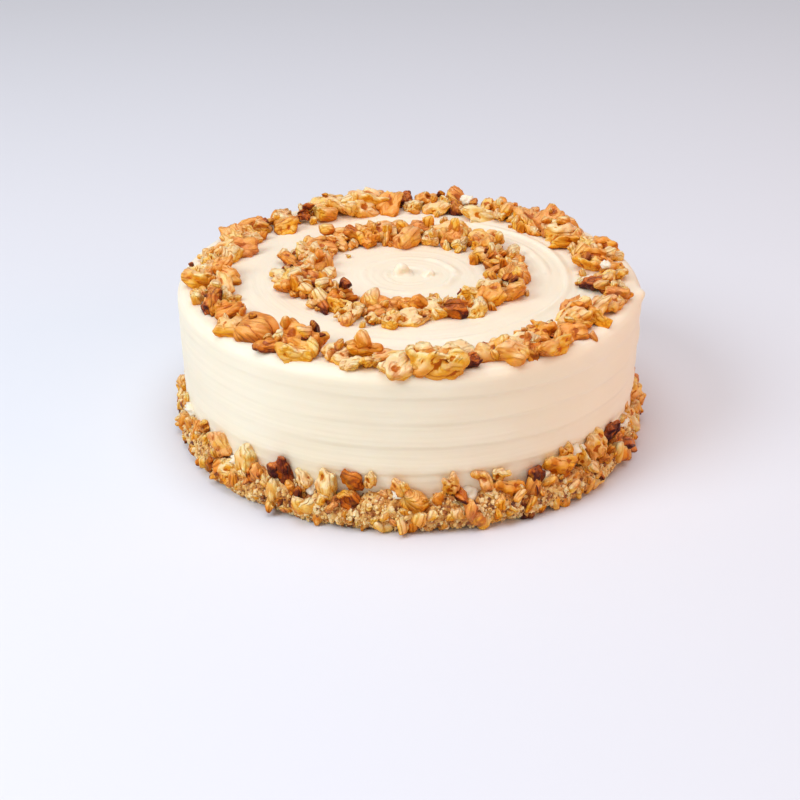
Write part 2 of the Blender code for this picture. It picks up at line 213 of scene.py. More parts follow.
def mesh_of(shape, name):
    """A mesh from a finished shape, which is freed."""
    mesh = bpy.data.meshes.new(name)
    shape.to_mesh(mesh)
    shape.free()
    return mesh


def smooth_piece(shape, name, material):
    """An object from a finished shape, smooth and in one material."""
    for face in shape.faces:
        face.smooth = True
    mesh = mesh_of(shape, name)
    mesh.materials.append(material)
    return placed(name, mesh)


def opened(mesh):
    """A shape to work on, from a mesh."""
    shape = bmesh.new()
    shape.from_mesh(mesh)
    return shape


def tag(mesh, label, kind, values):
    """Stores a value for each point of a mesh. Vectors are given as one flat list."""
    field = "vector" if kind == "FLOAT_VECTOR" else "value"
    mesh.attributes.new(label, kind, "POINT").data.foreach_set(field, values)


def grow(name, mesh, tree, **values):
    """Runs a tree on a mesh and returns the result as an object with a plain mesh at the origin."""
    piece = placed(name, mesh)
    grower = piece.modifiers.new("grow", "NODES")
    grower.node_group = tree
    sockets = {item.name: item.identifier for item in tree.interface.items_tree if item.in_out == "INPUT"}
    for label, value in values.items():
        grower[sockets[label.replace("_", " ")]] = value
    graph = bpy.context.evaluated_depsgraph_get()
    grown = bpy.data.meshes.new_from_object(piece.evaluated_get(graph))
    piece.modifiers.clear()
    piece.data = grown
    grown.name = name
    return piece


def finish_with(name, build):
    """A material whose node tree is filled in by a function that gets the tree and its shader."""
    material = bpy.data.materials.new(name)
    material.use_nodes = True
    build(material.node_tree, material.node_tree.nodes["Principled BSDF"])
    return material


def ramp(tree, value, *stops):
    """Colours a number. Each stop is a place from 0 to 1 and a colour."""
    node = place_node(tree, "ShaderNodeValToRGB", Fac=value)
    bar = node.color_ramp.elements
    while len(bar) < len(stops):
        bar.new(1)
    for element, (position, colour) in zip(bar, stops):
        element.position = position
        element.color = (*colour, 1)
    return node.outputs[0]


def icing_finish(tree, shader):
    """Matt cream icing: pale, a little translucent, with fine drag lines that follow the turntable."""
    where = place_node(tree, "ShaderNodeTexCoord").outputs["Object"]
    x, y, z = parts_of(tree, where)
    across = (x * x + y * y).math("SQRT")
    turned = y.math("ARCTAN2", x)
    streaks = mottle(tree, vector_of(tree, across, z, turned * 0.006), 700, 3, 0.6)
    clouds = mottle(tree, where, 22, 2)
    bump = place_node(tree, "ShaderNodeBump", Height=streaks, Strength=0.25, Distance=0.4 * MM)
    fill(
        tree,
        shader,
        Base_Color=ramp(tree, clouds, (0.3, (0.92, 0.805, 0.59)), (0.7, (0.94, 0.845, 0.645))),
        Normal=bump.outputs[0],
        Roughness=mottle(tree, where, 60, 1).eased(0.2, 0.8, 0.42, 0.58),
        Subsurface_Weight=0.25,
        Subsurface_Radius=(1.0, 0.7, 0.45),
        Subsurface_Scale=4 * MM,
    )


icing = finish_with("icing", icing_finish)


def ripple(tree, angle, pace, seed):
    """A slow unevenness round the cake, from about -1 to 1, that meets itself after a full turn."""
    round_about = vector_of(tree, angle.cos() * pace, angle.sin() * pace, seed * 7.3)
    return mottle(tree, round_about, 1.0).eased(0.2, 0.8, -1, 1)


def strength(tree, angle, ridge, seed):
    """How high a ridge stands, as a share: unevenly, and most where it is strongest."""
    facing = 0.5 + 0.5 * (angle - math.radians(ridge.strongest)).cos()
    return (facing * facing + RIDGE_UNEVEN * ripple(tree, angle, 3, seed)).least(LEAST_RIDGE)


ICING_MEASURES = (
    "Wall radius",
    "Foot radius",
    "Top height",
    "Shoulder round",
    "Wall lip",
    "Wall wave",
    "Top ridge",
    "Dish depth",
    "Point reach",
)
tree, given, result = new_tree(
    "iced cake",
    dict.fromkeys(ICING_MEASURES, "NodeSocketFloat")
    | dict.fromkeys(("Steps round", "Steps up"), "NodeSocketInt"),
)
measures = [Worked(tree, given[label]) for label in ICING_MEASURES]
wall_radius, foot_radius, top_height, shoulder_round = measures[:4]
wall_lip, wall_wave, top_ridge, dish_depth, point_reach = measures[4:]
columns = Worked(tree, given["Steps round"]) + 1
sheet = place_node(
    tree, "GeometryNodeMeshGrid", Size_X=1, Size_Y=1, Vertices_X=columns, Vertices_Y=given["Steps up"]
)
share_round, share_up, _ = parts_of(tree, sheet.outputs["UV Map"])
angle = share_round * TURN
straight = top_height - shoulder_round
bend = shoulder_round * (math.pi / 2)
along = share_up * (straight + bend + wall_radius - shoulder_round)
tilt = ((along - straight) / bend).least(0).most(1) * (math.pi / 2)
inward = (along - straight - bend).least(0)
up = along.most(straight)
foot = FOOT_ROUND * up.eased(0, FOOT_ROUND, 1, 0) + (wall_radius - foot_radius) * (1 - up / straight)
radius = wall_radius - foot - shoulder_round * (1 - tilt.cos()) - inward
height = up + shoulder_round * tilt.sin()

stand = 0.0
for seed, ridge in enumerate(WALL_RIDGES, start=1):
    # Each band of the wall flares down to a lip and steps in below it
    above = height - ridge.place - RIDGE_WANDER * ripple(tree, angle, 1.3, seed + 20)
    step = above.eased(-LIP_UNDER, LIP_EDGE) * above.eased(LIP_EDGE, LIP_FADES, 1, 0)
    stand = wall_lip * strength(tree, angle, ridge, seed) * step + stand
for seed, ridge in enumerate(TOP_RIDGES, start=5):
    off = radius - ridge.place - RIDGE_WANDER * ripple(tree, angle, 1.3, seed + 20)
    crest = off.eased(-RIDGE_INSIDE, 0) * off.eased(0, RIDGE_OUTSIDE, 1, 0) * inward.eased(0, RIDGES_START)
    stand = top_ridge * strength(tree, angle, ridge, seed) * crest + stand
drag_place = vector_of(tree, radius * 1000, height * 1000, angle * 0.35)
stand = (mottle(tree, drag_place, 0.55, 2) - 0.5) * DRAG_DEPTH + stand
wall_place = vector_of(tree, angle.cos() * 2.2, angle.sin() * 2.2, height * 60)
stand = wall_wave * (mottle(tree, wall_place, 1.0) - 0.5) * 2 * tilt.eased(0, 1, 1, 0) + stand
away = (angle - POINT_ANGLE) / POINT_WIDTH
window = tilt.eased(0, 0.5) * tilt.eased(0.6, 1.3, 1, 0)
stand = point_reach * (away * away * -1).math("EXPONENT") * window + stand
stand = stand - dish_depth * radius.eased(*DISH_EDGE, 1, 0)
off = radius - DISH_RING
crest = off.eased(-DISH_RING_SIDE, 0) * off.eased(0, DISH_RING_SIDE, 1, 0)
stand = DISH_RING_HEIGHT * crest * (1 + ripple(tree, angle, 2, 9)) + stand
stand = stand * up.eased(0, 4 * MM)
radius = radius + tilt.cos() * stand
height = height + tilt.sin() * stand
spun = place_node(
    tree,
    "GeometryNodeSetPosition",
    Geometry=sheet.outputs["Mesh"],
    Position=around(tree, radius, angle, height),
)
base = place_node(
    tree,
    "GeometryNodeMeshCircle",
    {"fill_type": "NGON"},
    Vertices=given["Steps round"],
    Radius=foot_radius - FOOT_ROUND,
)
under = place_node(tree, "GeometryNodeFlipFaces", Mesh=base.outputs[0])
both = tree.nodes.new("GeometryNodeJoinGeometry")
tree.links.new(spun.outputs[0], both.inputs[0])
tree.links.new(under.outputs[0], both.inputs[0])
closed = place_node(tree, "GeometryNodeMergeByDistance", Geometry=both.outputs[0], Distance=0.01 * MM)
smooth = place_node(tree, "GeometryNodeSetShadeSmooth", Geometry=closed.outputs[0])
end_tree(tree, smooth.outputs[0], icing, result)

cake = grow(
    "icing_coat",
    bpy.data.meshes.new("icing_coat"),
    tree,
    Wall_radius=WALL_RADIUS,
    Foot_radius=FOOT_RADIUS,
    Top_height=TOP_HEIGHT,
    Shoulder_round=SHOULDER_ROUND,
    Wall_lip=0.65 * MM,
    Wall_wave=0.5 * MM,
    Top_ridge=0.9 * MM,
    Dish_depth=0.6 * MM,
    Point_reach=2.4 * MM,
    Steps_round=384,
    Steps_up=250,
)
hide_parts("iced_cake")
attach(cake, "root")

# ---------------------------------------------------------------------------------------------------
# The curls in the middle, drawn up as the palette knife left the icing: a pointed one that leans over,
# and a low lump beside it.

Curl = namedtuple("Curl", "x y foot rise lean_x lean_y")
CURLS = (
    Curl(-2.4 * MM, 2.2 * MM, 5.6 * MM, 5.0 * MM, -1.6 * MM, -1.0 * MM),
    Curl(8.6 * MM, 0.6 * MM, 4.2 * MM, 2.2 * MM, 1.0 * MM, -0.4 * MM),
)
CURL_ROOT = 1.5 * MM
CURL_STEPS = 20
CURL_SIDES = 36

shape = bmesh.new()
for number, curl in enumerate(CURLS):
    rows = []
    for step in range(CURL_STEPS):
        share = step / CURL_STEPS
        row = []
        for side in range(CURL_SIDES):
            angle = TURN * side / CURL_SIDES
            lobe = 1 + 0.5 * noise.noise(Vector((math.cos(angle), math.sin(angle), share * 1.5 + number * 5)))
            flare = 0.4 * max(0.0, 1 - share * 3) ** 2
            radius = curl.foot * (0.85 * lobe * (1 - share) ** 0.5 + flare)
            bent = share * share
            x = curl.x + curl.lean_x * bent + radius * math.cos(angle)
            y = curl.y + curl.lean_y * bent + radius * math.sin(angle)
            row.append(shape.verts.new((x, y, TOP_HEIGHT - CURL_ROOT + (curl.rise + CURL_ROOT) * share)))
        rows.append(row)
    for lower, upper in zip(rows, rows[1:]):
        for side in range(CURL_SIDES):
            after = (side + 1) % CURL_SIDES
            shape.faces.new((lower[side], lower[after], upper[after], upper[side]))
    shape.faces.new(reversed(rows[0]))
    tip = shape.verts.new((curl.x + curl.lean_x, curl.y + curl.lean_y, TOP_HEIGHT + curl.rise))
    for side in range(CURL_SIDES):
        shape.faces.new((rows[-1][side], rows[-1][(side + 1) % CURL_SIDES], tip))
curls = smooth_piece(shape, "icing_curls", icing)
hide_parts("iced_cake")
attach(curls, "root")

# ---------------------------------------------------------------------------------------------------
# Broken walnut kernels. Each is a few plump folds grown together under a thin amber skin, and some are
# snapped through, where the pale inside shows. Two rarer ones are made apart: the ribbed back of a
# half, and a half that lies with its hollow up.

KERNEL_KINDS = 18
KERNEL_GRAIN = 0.074
FOLD_BEADS = 6
FOLD_GAP = 0.31
FOLD_BLURS = 7
FULL_FOLD = 0.014
LOBE_DEPTH = 0.075
RIB_DEPTH = 0.06
HOLLOW_BEADS = 14

# Some of the noise below would otherwise differ from one run to the next
NOISE_SEED = 5
noise.seed_set(NOISE_SEED)


def remeshed(mesh, grain):
    """A closed even skin round everything in a mesh."""
    lump = placed("lump", mesh)
    skin = lump.modifiers.new("skin", "REMESH")
    skin.mode = "VOXEL"
    skin.voxel_size = grain
    skin.use_smooth_shade = True
    graph = bpy.context.evaluated_depsgraph_get()
    done = bpy.data.meshes.new_from_object(lump.evaluated_get(graph))
    bpy.data.objects.remove(lump)
    return done


def wrinkled(mesh, seed):
    """Swells a smooth lump unevenly and works winding grooves into it."""
    for vertex in mesh.vertices:
        place = vertex.co + Vector((0, 0, seed * 3))
        lobe = min(1.0, 4.5 * abs(noise.noise(place * 3.4)))
        rib = min(1.0, 4.5 * abs(noise.noise(place * Vector((1.8, 4.6, 4.6)) + Vector((5, 0, 0)))))
        vertex.co += 0.09 * noise.noise_vector(place * 2.8)
        vertex.co += (LOBE_DEPTH * (lobe - 0.6) + RIB_DEPTH * (rib - 0.6)) * vertex.normal
    return mesh


def fold_depths(shape):
    """How deep each point lies in a fold: 1 at the bottom of a groove and -1 on a ridge."""
    near = [[edge.other_vert(vertex).index for edge in vertex.link_edges] for vertex in shape.verts]
    blurred = [vertex.co.copy() for vertex in shape.verts]
    for _ in range(FOLD_BLURS):
        blurred = [sum((blurred[other] for other in others), Vector()) / len(others) for others in near]
    depths = [(soft - vertex.co).dot(vertex.normal) / FULL_FOLD for soft, vertex in zip(blurred, shape.verts)]
    return [max(-1.0, min(1.0, depth)) for depth in depths]


def boxed(shape, skins, grain=None, streak=1.0):
    """Fits a finished shape to a unit box, and keeps its skin, its folds and the run of its grain."""
    shape.verts.index_update()
    shape.normal_update()
    folds = fold_depths(shape)
    low = Vector([min(vertex.co[axis] for vertex in shape.verts) for axis in range(3)])
    high = Vector([max(vertex.co[axis] for vertex in shape.verts) for axis in range(3)])
    for vertex in shape.verts:
        vertex.co = Vector([(vertex.co[a] - low[a]) / (high[a] - low[a]) - 0.5 for a in range(3)])
    grain = grain or [vertex.co * Vector((3.2, 8, 8)) * streak for vertex in shape.verts]
    mesh = mesh_of(shape, "kernel")
    tag(mesh, "skin", "FLOAT", skins)
    tag(mesh, "fold", "FLOAT", folds)
    tag(mesh, "grain", "FLOAT_VECTOR", [number for place in grain for number in place])
    return mesh


def add_bead(shape, place, size):
    bmesh.ops.create_icosphere(shape, subdivisions=2, radius=size, matrix=Matrix.Translation(place))


def kernel_piece(seed, grain, snaps=(0, 1, 2, 2)):
    """One broken kernel in a unit box. "snaps" are the numbers of broken faces it can have."""
    draw = random.Random(seed)
    shape = bmesh.new()
    folds = draw.choice((2, 2, 3, 3, 4))
    sway = draw.uniform(-0.7, 0.7)
    for fold in range(folds):
        side = (fold - (folds - 1) / 2) * FOLD_GAP
        plump = draw.uniform(0.13, 0.2)
        rise = draw.uniform(-0.1, 0.1)
        reach = draw.uniform(0.6, 0.95)
        shift = draw.uniform(-0.15, 0.15)
        for bead in range(FOLD_BEADS):
            x = (bead / (FOLD_BEADS - 1) - 0.5) * reach + shift
            y = side + sway * x * x + draw.uniform(-0.05, 0.05)
            z = rise + 0.25 * (0.25 - x * x) + draw.uniform(-0.06, 0.06)
            size = plump * draw.uniform(0.75, 1.25)
            add_bead(shape, (x, y, z), size)
    root = Matrix.Translation((0, 0, -0.08)) @ Matrix.Diagonal((0.4, 0.16 * folds, 0.13, 1))
    bmesh.ops.create_icosphere(shape, subdivisions=2, radius=1, matrix=root)
    mesh = wrinkled(remeshed(mesh_of(shape, "kernel"), grain * 0.8), seed)
    cuts = []
    for _ in range(draw.choice(snaps)):
        facing = Vector((draw.uniform(-1, 1), draw.uniform(-0.8, 0.8), draw.uniform(-0.6, 0.6))).normalized()
        cuts.append((facing, draw.uniform(0.18, 0.3)))
    shape = opened(mesh)
    for facing, depth in cuts:
        everything = shape.verts[:] + shape.edges[:] + shape.faces[:]
        snap = bmesh.ops.bisect_plane(
            shape, geom=everything, plane_co=facing * depth, plane_no=facing, clear_outer=True
        )
        rim = [piece for piece in snap["geom_cut"] if isinstance(piece, bmesh.types.BMEdge)]
        bmesh.ops.edgeloop_fill(shape, edges=rim)
    shape = opened(remeshed(mesh_of(shape, "kernel"), grain))
    bmesh.ops.smooth_vert(
        shape, verts=shape.verts, factor=0.3, use_axis_x=True, use_axis_y=True, use_axis_z=True
    )
    shape.normal_update()
    skins = []
    for vertex in shape.verts:
        inside = min([depth - vertex.co.dot(facing) for facing, depth in cuts], default=1)
        skins.append(min(1.0, max(0.0, (inside - 0.02) / 0.05)))
    for vertex, skin in zip(shape.verts, skins):
        rough = noise.fractal(vertex.co * 3.4 + Vector((0, seed, 0)), 1, 2, 3)
        vertex.co += vertex.normal * (0.075 * (1 - skin) + 0.02 * skin) * rough
    return boxed(shape, skins, streak=KERNEL_GRAIN / grain)


def ribbed_half(seed):
    """The back of half a kernel: fine ribs fan out from the stalk end and fork towards the rim."""
    shape = bmesh.new()
    bmesh.ops.create_uvsphere(shape, u_segments=96, v_segments=40, radius=0.5)
    grain = []
    for vertex in shape.verts:
        x, y, z = vertex.co
        fan = math.atan2(y, x + 0.52)
        away = math.hypot(x + 0.52, y)
        wander = 1.6 * noise.noise(vertex.co * 2.5 + Vector((seed, 0, 0)))
        groove = (1 - abs(math.sin(fan * 6 + wander))) ** 2.5
        lobes = 0.3 * noise.noise(vertex.co * 2.2 + Vector((0, seed, 0)))
        grain.append(Vector((away * 3, fan * 12 + z * 5, seed)))
        vertex.co *= 1 + lobes - 0.09 * groove * min(1.0, away * 2)
        vertex.co.z *= 0.8 if z > 0 else 0.35
    return boxed(shape, [1.0] * len(shape.verts), grain)


def hollow_half(seed):
    """A long piece that lies with its hollow up: two thick lips that meet at the ends."""
    draw = random.Random(seed)
    shape = bmesh.new()
    for bead in range(HOLLOW_BEADS):
        angle = TURN * bead / HOLLOW_BEADS
        x = 0.4 * math.cos(angle)
        y = 0.22 * math.sin(angle) + draw.uniform(-0.03, 0.03)
        size = draw.uniform(0.11, 0.17)
        add_bead(shape, (x, y, draw.uniform(-0.05, 0.05)), size)
    keel = Matrix.Translation((0, 0, -0.12)) @ Matrix.Diagonal((0.42, 0.27, 0.14, 1))
    bmesh.ops.create_icosphere(shape, subdivisions=3, radius=1, matrix=keel)
    shape = opened(wrinkled(remeshed(mesh_of(shape, "hollow half"), KERNEL_GRAIN * 0.6), seed))
    shape.normal_update()
    skins = []
    for vertex in shape.verts:
        inner = 1 - math.hypot(vertex.co.x / 0.34, vertex.co.y / 0.16)
        skins.append(1.0 if vertex.co.z < -0.05 or inner > 0.1 else 0.3)
    return boxed(shape, skins)


def shelf_of(name, meshes):
    """A collection of shapes for a tree to pick from, by their order in it."""
    shelf = bpy.data.collections.new(name)
    for number, mesh in enumerate(meshes):
        shelf.objects.link(bpy.data.objects.new(f"{name}_{number:02d}", mesh))
    return shelf


def attribute_of(tree, name, output="Fac"):
    return Worked(tree, place_node(tree, "ShaderNodeAttribute", {"attribute_name": name}).outputs[output])


def blend(tree, share, first, second):
    node = place_node(tree, "ShaderNodeMix", {"data_type": "RGBA"})
    for slot, value in ((0, share), (6, first), (7, second)):
        feed(tree, node.inputs[slot], value)
    return node.outputs[2]


def kernel_finish(tree, shader):
    """A thin tan to red-brown skin over part of an oily cream to amber kernel, with painted shade deepening
    it in its folds and grooves.

    What faces down or aside is painted a deeper amber and given less shine: painted shade, and a painted glow
    for light coming through the kernel.
    """
    where = place_node(tree, "ShaderNodeTexCoord").outputs["Object"]
    tone, skin, fold, facing = (attribute_of(tree, name) for name in ("tone", "skin", "fold", "facing"))
    run = attribute_of(tree, "grain", "Vector").socket
    streaks = mottle(tree, run, 1.0, 3, 0.6) - 0.5
    lobes = (mottle(tree, run, 0.45, 1) - 0.5).math("ABSOLUTE").eased(0, 0.11)
    clouds = mottle(tree, where, 140, 2) - 0.5
    fine = mottle(tree, where, 900, 3, 0.6) - 0.5
    # depth is mostly painted shade: it deepens the colour in folds and grooves and on what faces down or
    # aside, with a little random fine mottle.
    depth = fold.least(0) * 0.6 + facing.eased(-0.4, 0.9, 0.45, 0) + (1 - lobes) * 0.15 - fine * 0.15
    bared = ramp(
        tree,
        0.5 + tone * 0.6 + clouds * 0.8 + streaks * 0.4 - depth,
        (0.0, (0.68, 0.145, 0.002)),
        (0.25, (0.88, 0.29, 0.006)),
        (0.5, (0.95, 0.46, 0.035)),
        (0.75, (0.95, 0.625, 0.17)),
        (1.0, (0.96, 0.78, 0.42)),
    )
    papery = ramp(
        tree,
        0.27 + tone * 0.8 + clouds * 0.8 + streaks * 0.6 - depth,
        (0.0, (0.055, 0.01, 0.012)),
        (0.12, (0.2, 0.03, 0.01)),
        (0.3, (0.58, 0.13, 0.008)),
        (0.55, (0.83, 0.275, 0.02)),
        (0.8, (0.92, 0.41, 0.08)),
        (1.0, (0.95, 0.57, 0.23)),
    )
    blush = (tone * 17).math("FRACT").eased(0.4, 0.7) * (tone - 0.15).eased(0, 0.2)
    papery = blend(tree, blush * 0.35, papery, (0.84, 0.38, 0.16, 1))
    covered = (skin * 0.5 + clouds * 1.8 + streaks * 0.5 + (0.72 - tone) * 0.8).eased(0, 0.9)
    surface = blend(tree, covered, bared, papery)
    # Painted shade: the folds and the grooves between the lobes are blended towards a deep red-brown.
    painted_crease_shade = (fold.eased(0.2, 0.9, 0, 0.8) + lobes.eased(0, 0.8, 0.5, 0) * (clouds + 0.5)).most(0.85)
    surface = blend(tree, painted_crease_shade, surface, (0.5, 0.1, 0.002, 1))
    height = lobes * 0.5 + streaks * 0.8 + fine * 0.2
    bump = place_node(tree, "ShaderNodeBump", Height=height, Strength=1.0, Distance=0.8 * MM)
    fill(
        tree,
        shader,
        Base_Color=surface,
        Normal=bump.outputs[0],
        Roughness=skin.eased(0, 1, 0.38, 0.28),
        # Painted shade on the shine: what faces down or aside gets less specular, and what faces up gets
        # more.
        Specular_IOR_Level=facing.eased(0.2, 0.9, 0.1, 0.65),
        Specular_Tint=(1.0, 0.82, 0.66, 1),
        Subsurface_Weight=0.15,
        Subsurface_Radius=(1.0, 0.5, 0.2),
        Subsurface_Scale=0.8 * MM,
    )


kernel = finish_with("kernel", kernel_finish)
kernel_meshes = [kernel_piece(seed, KERNEL_GRAIN) for seed in range(KERNEL_KINDS)]
kernel_shelf = shelf_of("kernels", [*kernel_meshes, ribbed_half(2), hollow_half(4)])
RIBBED = KERNEL_KINDS
HOLLOW = KERNEL_KINDS + 1

# ---------------------------------------------------------------------------------------------------
# The heaped rings of nuts on top: one just inside the edge, one round the middle. They are dropped on
# by hand, one to three pieces across, big ones riding on small ones, pressed a little into the icing.

# The nuts that stand out, placed one by one: where round the cake in degrees, how far from the middle of
# the ring or how high up the wall, how long, which way the nut points in degrees, its shape and its tone
Nut = namedtuple("Nut", "angle out length heading kind tone")


def nuts_of(*rows):
    """Nuts from rows whose lengths are in millimetres."""
    return [Nut(angle, out * MM, length * MM, *rest) for angle, out, length, *rest in rows]


RIM_NUTS = nuts_of(
    (212, 89, 14, 35, 8, 0.42),
    (225.5, 90, 17, -8, RIBBED, 0.5),
    (234, 96, 11.5, 10, 17, 0.32),
    (240.5, 87, 18, -35, 9, 0.5),
    (242, 96, 13, -50, 11, 0.72),
    (251.5, 91, 12, -20, 12, 0.9),
    (256.5, 97, 9, 0, 2, 0.97),
    (265, 90, 14, 15, 4, 0.7),
    (267.5, 97, 17, 60, 7, 0.98),
    (276, 97, 22, 4, HOLLOW, 0.78),
    (283.5, 95, 9, 20, 5, 0.03),
    (284, 85, 12, 25, 1, 0.97),
    (292.5, 94, 18, -30, 15, 0.74),
    (305.5, 97, 16, 30, 13, 0.62),
    (314.5, 92, 14, 15, 16, 0.5),
    (328, 80, 12, 75, 13, 0.45),
    (335.5, 92, 12, 60, 17, 0.82),
    (347, 89, 10, 0, 14, 0.0),
)
INNER_NUTS = nuts_of(
    (42, 51, 14, 10, 5, 0.7),
    (64, 50, 15, -10, 16, 0.78),
    (100, 46, 17, 10, 9, 0.7),
    (171, 39, 12, 70, 8, 0.5),
    (186, 54, 9, -10, 1, 1.0),
    (230, 41, 14, 30, 17, 0.36),
    (222, 49, 10, 80, 3, 0.8),
    (257, 41, 16, -10, 9, 0.5),
    (257.5, 51, 9, 70, 12, 0.94),
    (265, 53, 10, 80, 4, 0.72),
    (274, 50, 13, 30, 7, 0.97),
    (296, 49, 13, 10, 0, 0.14),
    (338, 41, 11, 15, 2, 0.92),
    (351, 49, 15, 60, RIBBED, 0.65),
)
BASE_NUTS = nuts_of(
    (219, 18, 12, 40, 16, 0.7),
    (229, 18, 13, 0, 2, 0.97),
    (233, 13, 11, 30, 0, 0.3),
    (239.5, 18, 14, 15, 3, 0.1),
    (245, 17, 10, 30, 10, 1.0),
    (251, 17, 14, 10, 7, 0.97),
    (257, 20.5, 10, 75, 14, 0.25),
    (261, 21.5, 8, 0, 12, 0.96),
    (271, 12.5, 13, 50, RIBBED, 0.66),
    (279, 20, 10, 10, 5, 0.88),
    (286.5, 19.5, 11, 20, 15, 0.76),
    (292, 14, 13, 70, 9, 0.55),
    (289, 7, 10, 0, 2, 0.85),
    (300, 14.5, 12, -20, 13, 0.03),
    (306, 18, 14, 70, 9, 0.6),
    (308.5, 22.5, 8, 0, 5, 0.72),
    (319, 19.5, 13, 20, 17, 0.82),
    (257, 11, 12, 30, 4, 0.3),
    (237.5, 7.5, 11, 40, 16, 0.66),
)

# A heap: its seed, the middle of its ring, how far out the ring runs, how far across it spreads, how many
# nuts fill it and their least and greatest length, how far a nut can ride on those below, and how far
# the heap slips outward at the front. An upright one is on the wall, with "out" and "spread" up the wall.
Heap = namedtuple("Heap", "seed x y out spread count least greatest lift slip upright nuts")
RIM_HEAP = Heap(
    21, 0, 0, 85.5 * MM, 7.6 * MM, 116, 8 * MM, 17 * MM, 2.6 * MM, 5.5 * MM, False, RIM_NUTS
)
INNER_HEAP = Heap(
    8, -3 * MM, -MM, 45 * MM, 7.6 * MM, 74, 7 * MM, 15 * MM, 2.8 * MM, 0, False, INNER_NUTS
)
BASE_HEAP = Heap(5, 0, 0, 12.5 * MM, 9 * MM, 130, 7 * MM, 13 * MM, 1.6 * MM, 0, True, BASE_NUTS)

# How the nuts of a heap lie: their lanes, how often they are small, how close to the placed ones they
# come, how much the heap narrows at the front, and how steeply it drops past the edge of the flat top
GOLDEN_SHARE = 0.618034
SMALL_PIECES = 1.5
CROWDED = 0.62
FRONT_NARROWS = 0.3
DROOP = 0.45
MOST_TILT = math.radians(38)
PLACED_TILT = math.radians(12)
BREADTHS = (0.62, 0.88)
HEIGHTS = (0.48, 0.68)
LONG_NUT = 20 * MM
LONG_NARROWS = 0.72
Place = namedtuple("Place", "centre size turn")
LUMP_DRAWS = 1000

# The crust is pressed in more at the sides and back, and bulges low at the front. It starts to come out
# to the front at the first of two shares of the way there, and is fully out at the second. The bulge is
# full below the first of two levels and gone above the second.
PRESSED_IN = 1.6 * MM
FRONT_BULGE = 2.2 * MM
BULGE_TURNS = (0.3, 0.9)
BULGE_LEVELS = (8 * MM, 16 * MM)


def wall_at(height):
    """How far out the wall stands at a height: it draws in a little from the shoulder to the foot."""
    share = max(0.0, min(1.0, height / (TOP_HEIGHT - SHOULDER_ROUND)))
    return FOOT_RADIUS + (WALL_RADIUS - FOOT_RADIUS) * share


def crust_stand(angle, level):
    """How much further out than elsewhere the crust stands at an angle and a level."""
    start, end = BULGE_TURNS
    share = max(0.0, min(1.0, (-math.sin(angle) - start) / (end - start)))
    front = share * share * (3 - 2 * share)
    full, gone = BULGE_LEVELS
    low = max(0.0, min(1.0, (gone - level) / (gone - full)))
    return FRONT_BULGE * front * low - PRESSED_IN * (1 - front)


def set_out(radius, angle, level, x=0, y=0):
    """A place so far from a middle, at an angle round it and a level."""
    return Vector((x + radius * math.cos(angle), y + radius * math.sin(angle), level))


def lane_out(heap, angle, lane):
    """How far out a lane of a heap runs. A heap that slips at the front is narrower there too."""
    front = max(0.0, -math.sin(angle))
    narrows = FRONT_NARROWS * front if heap.slip > 0 else 0
    return heap.out + lane * heap.spread * (1 - narrows) + heap.slip * front


def droop(out):
    """How much lower a piece lies that is past the edge of the flat top."""
    return DROOP * max(0.0, out - (WALL_RADIUS - SHOULDER_ROUND))


def sides_of(draw, length, breadths, heights):
    """The sides of a piece, with its breadth and height drawn as shares of its length."""
    return Vector((length, length * draw.uniform(*breadths), length * draw.uniform(*heights)))


def rest_nut(heap, draw, angle, out, length, heading, most_tilt, ride):
    """One nut of a heap, set down on the icing or pressed against the wall."""
    size = sides_of(draw, length, BREADTHS, HEIGHTS)
    if length > LONG_NUT:
        size.y *= LONG_NARROWS
    tilts = (draw.uniform(-most_tilt, most_tilt), draw.uniform(-most_tilt, most_tilt))
    turn = Euler((*tilts, heading)).to_matrix().to_4x4()
    if heap.upright:
        radius, level = wall_at(out) + crust_stand(angle, out) + 0.3 * size.z + ride, out
        face_out = Matrix.Rotation(angle, 4, "Z") @ Matrix.Rotation(math.pi / 2, 4, "Y")
        turn = face_out @ turn
    else:
        radius, level = out, TOP_HEIGHT + 0.3 * size.z + ride - droop(out)
    # The nut's solid gets its lumps from a draw here, and without it the nuts would lie elsewhere
    draw.randrange(LUMP_DRAWS)
    return Place(set_out(radius, angle, level, heap.x, heap.y), size, turn)


def heap_places(heap):
    """Where the nuts of a heap lie: those placed one by one, then the rest in the room between them.

    Each of the rest follows round the ring, and its lane across the heap is a golden share on.
    """
    draw = random.Random(heap.seed)
    places = []
    for nut in heap.nuts:
        angle, heading = math.radians(nut.angle), math.radians(nut.heading)
        places.append(rest_nut(heap, draw, angle, nut.out, nut.length, heading, PLACED_TILT, 0))
    for number in range(heap.count):
        angle = TURN * (number + draw.uniform(-0.4, 0.4)) / heap.count
        lane = 2 * ((number * GOLDEN_SHARE + draw.uniform(-0.12, 0.12)) % 1) - 1
        length = heap.least + (heap.greatest - heap.least) * draw.random() ** SMALL_PIECES
        out = lane_out(heap, angle, lane)
        ride = heap.lift * draw.random() * (1 - lane * lane)
        place = rest_nut(heap, draw, angle, out, length, draw.uniform(0, TURN), MOST_TILT, ride)
        room = [CROWDED * (place.size.x + other.size.x) / 2 for other in places[: len(heap.nuts)]]
        if all((place.centre - other.centre).length > near for other, near in zip(places, room)):
            places.append(place)
    return places


# The shapes leave the corners of their boxes empty, so each box is taken a little larger
PLUMPER = 1.15
BASE_PLUMPER = 1.08


def points_of(name, places, kinds, tones, plumper=1.0):
    """A mesh of loose points that carries each piece's turn, size, shape and tone."""
    mesh = bpy.data.meshes.new(name)
    mesh.from_pydata([place.centre for place in places], [], [])
    turns = [angle for place in places for angle in place.turn.to_euler()]
    sizes = [plumper * side for place in places for side in place.size]
    tag(mesh, "turn", "FLOAT_VECTOR", turns)
    tag(mesh, "size", "FLOAT_VECTOR", sizes)
    tag(mesh, "kind", "INT", kinds)
    tag(mesh, "tone", "FLOAT", tones)
    return mesh


